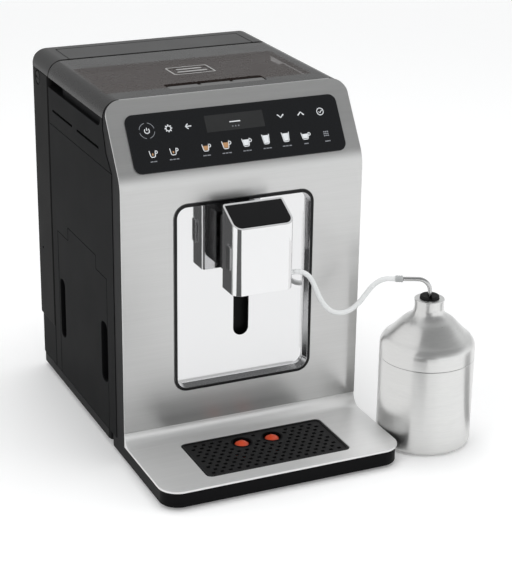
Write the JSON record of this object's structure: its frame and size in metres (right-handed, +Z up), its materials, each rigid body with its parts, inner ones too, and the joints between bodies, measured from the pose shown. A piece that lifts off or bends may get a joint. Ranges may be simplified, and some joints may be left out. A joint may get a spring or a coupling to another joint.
{
  "type": "coffee machine",
  "caption": "Bean-to-cup coffee machine with tinted hopper lid, rear water tank, sliding twin spout in a mirror alcove, drip tray, side grounds drawer and a hose-fed milk pot.",
  "frame": {"origin": "bottom centre of the bounding box of the machine and its milk pot, on the table", "axes": "+X to the machine's right as seen from the front, +Y to its back, +Z up"},
  "size_m": [0.34, 0.367, 0.348],
  "materials": {
    "charcoal_plastic": "satin moulded",
    "black_plastic": "fine moulded texture",
    "gloss_black": "high gloss",
    "smoked_plastic": "tinted, slightly clear",
    "brushed_steel": "fine brushed",
    "polished_steel": "mirror polished",
    "chrome": "polished",
    "rubber": "matt",
    "circuit_board": "satin",
    "ceramic": "satin",
    "brass": "satin",
    "cast_alloy": "as cast",
    "signal_red": "satin",
    "silicone": "translucent white",
    "control_glass": "high gloss black"
  },
  "bodies": {
    "root": {"base_pan": "black_plastic", "tank_dock": "charcoal_plastic", "cable_gland": "rubber", "right_side_panel": "charcoal_plastic", "left_side_panel": "charcoal_plastic", "rear_wall": "black_plastic", "upper_housing": "charcoal_plastic", "lid_pin_left": "chrome", "lid_pin_right": "chrome", "front_frame": "black_plastic", "front_fascia": "brushed_steel", "display_board": "circuit_board", "control_glass": "control_glass", "alcove_bezel": "gloss_black", "alcove_plate": "polished_steel", "guide_rail": "cast_alloy", "bean_hopper": "smoked_plastic", "knob_stem": "cast_alloy", "grinder_motor": "cast_alloy", "grinder_ring": "ceramic", "brew_chamber": "charcoal_plastic", "water_pump": "brass", "thermoblock": "cast_alloy", "main_board": "circuit_board", "milk_hose": "silicone", "foot_1": "rubber", "foot_2": "rubber", "foot_3": "rubber", "foot_4": "rubber"},
    "hopper_lid": {"hopper_lid": "smoked_plastic", "lid_grip": "black_plastic"},
    "grind_knob": {"grind_knob": "black_plastic"},
    "burr_cone": {"burr_cone": "ceramic"},
    "brew_piston": {"brew_piston": "cast_alloy"},
    "water_tank": {"water_tank": "smoked_plastic", "tank_valve": "black_plastic", "tank_pin_left": "black_plastic", "tank_pin_right": "black_plastic", "tank_lid": "smoked_plastic"},
    "tank_flap": {"tank_flap": "smoked_plastic"},
    "spout_head": {"spout_cover": "chrome", "spout_cap": "gloss_black", "nozzle_block": "black_plastic", "nozzle_left": "black_plastic", "nozzle_right": "black_plastic", "spout_carriage": "charcoal_plastic", "side_latch": "charcoal_plastic", "milk_port": "silicone"},
    "drip_tray": {"drip_tray": "black_plastic", "tray_plate": "brushed_steel"},
    "drip_grid": {"drip_grid": "black_plastic"},
    "float_left": {"float_left": "signal_red"},
    "float_right": {"float_right": "signal_red"},
    "grounds_drawer": {"grounds_door": "charcoal_plastic", "grounds_bin": "black_plastic"},
    "milk_pot": {"pot_body": "brushed_steel"},
    "pot_lid": {"pot_lid": "brushed_steel"},
    "pot_stopper": {"pot_stopper": "rubber", "pickup_tube": "brushed_steel", "hose_connector": "silicone"}
  },
  "joints": [
    {"name": "hopper_lid_hinge", "type": "hinge", "parent": "root", "child": "hopper_lid", "pos_m": [-0.047, 0.1225, 0.342], "axis": [-1, 0, 0], "range_deg": [0, 85]},
    {"name": "grind_setting", "type": "hinge", "parent": "root", "child": "grind_knob", "pos_m": [-0.047, 0.0445, 0.3], "axis": [0, 0, 1], "range_deg": [-60, 180]},
    {"name": "burr_spin", "type": "hinge", "parent": "root", "child": "burr_cone", "pos_m": [-0.047, 0.044, 0.231], "axis": [0, 0, 1], "continuous": true},
    {"name": "brew_press", "type": "slide", "parent": "root", "child": "brew_piston", "axis": [0, 0, 1], "range_m": [0, 0.04]},
    {"name": "tank_lift", "type": "slide", "parent": "root", "child": "water_tank", "axis": [0, 0, 1], "range_m": [0, 0.15]},
    {"name": "tank_flap_hinge", "type": "hinge", "parent": "water_tank", "child": "tank_flap", "pos_m": [-0.047, 0.1705, 0.3464], "axis": [-1, 0, 0], "range_deg": [0, 95]},
    {"name": "spout_height", "type": "slide", "parent": "root", "child": "spout_head", "axis": [0, 0, -1], "range_m": [0, 0.062]},
    {"name": "drip_tray_slide", "type": "slide", "parent": "root", "child": "drip_tray", "axis": [0, -1, 0], "range_m": [0, 0.12]},
    {"name": "drip_grid_lift", "type": "slide", "parent": "drip_tray", "child": "drip_grid", "axis": [0, 0, 1], "range_m": [0, 0.04]},
    {"name": "float_left_rise", "type": "slide", "parent": "drip_tray", "child": "float_left", "axis": [0, 0, 1], "range_m": [0, 0.008]},
    {"name": "float_right_rise", "type": "slide", "parent": "drip_tray", "child": "float_right", "axis": [0, 0, 1], "range_m": [0, 0.008]},
    {"name": "grounds_drawer_slide", "type": "slide", "parent": "root", "child": "grounds_drawer", "axis": [-1, 0, 0], "range_m": [0, 0.1]},
    {"name": "milk_pot_lift", "type": "slide", "parent": "root", "child": "milk_pot", "axis": [0, 0, 1], "range_m": [0, 0.02]},
    {"name": "pot_lid_turn", "type": "hinge", "parent": "milk_pot", "child": "pot_lid", "pos_m": [0.1235, -0.136, 0.0903], "axis": [0, 0, 1], "range_deg": [0, 120]},
    {"name": "pot_stopper_pull", "type": "slide", "parent": "milk_pot", "child": "pot_stopper", "axis": [0, 0, 1], "range_m": [0, 0.14]}
  ]
}
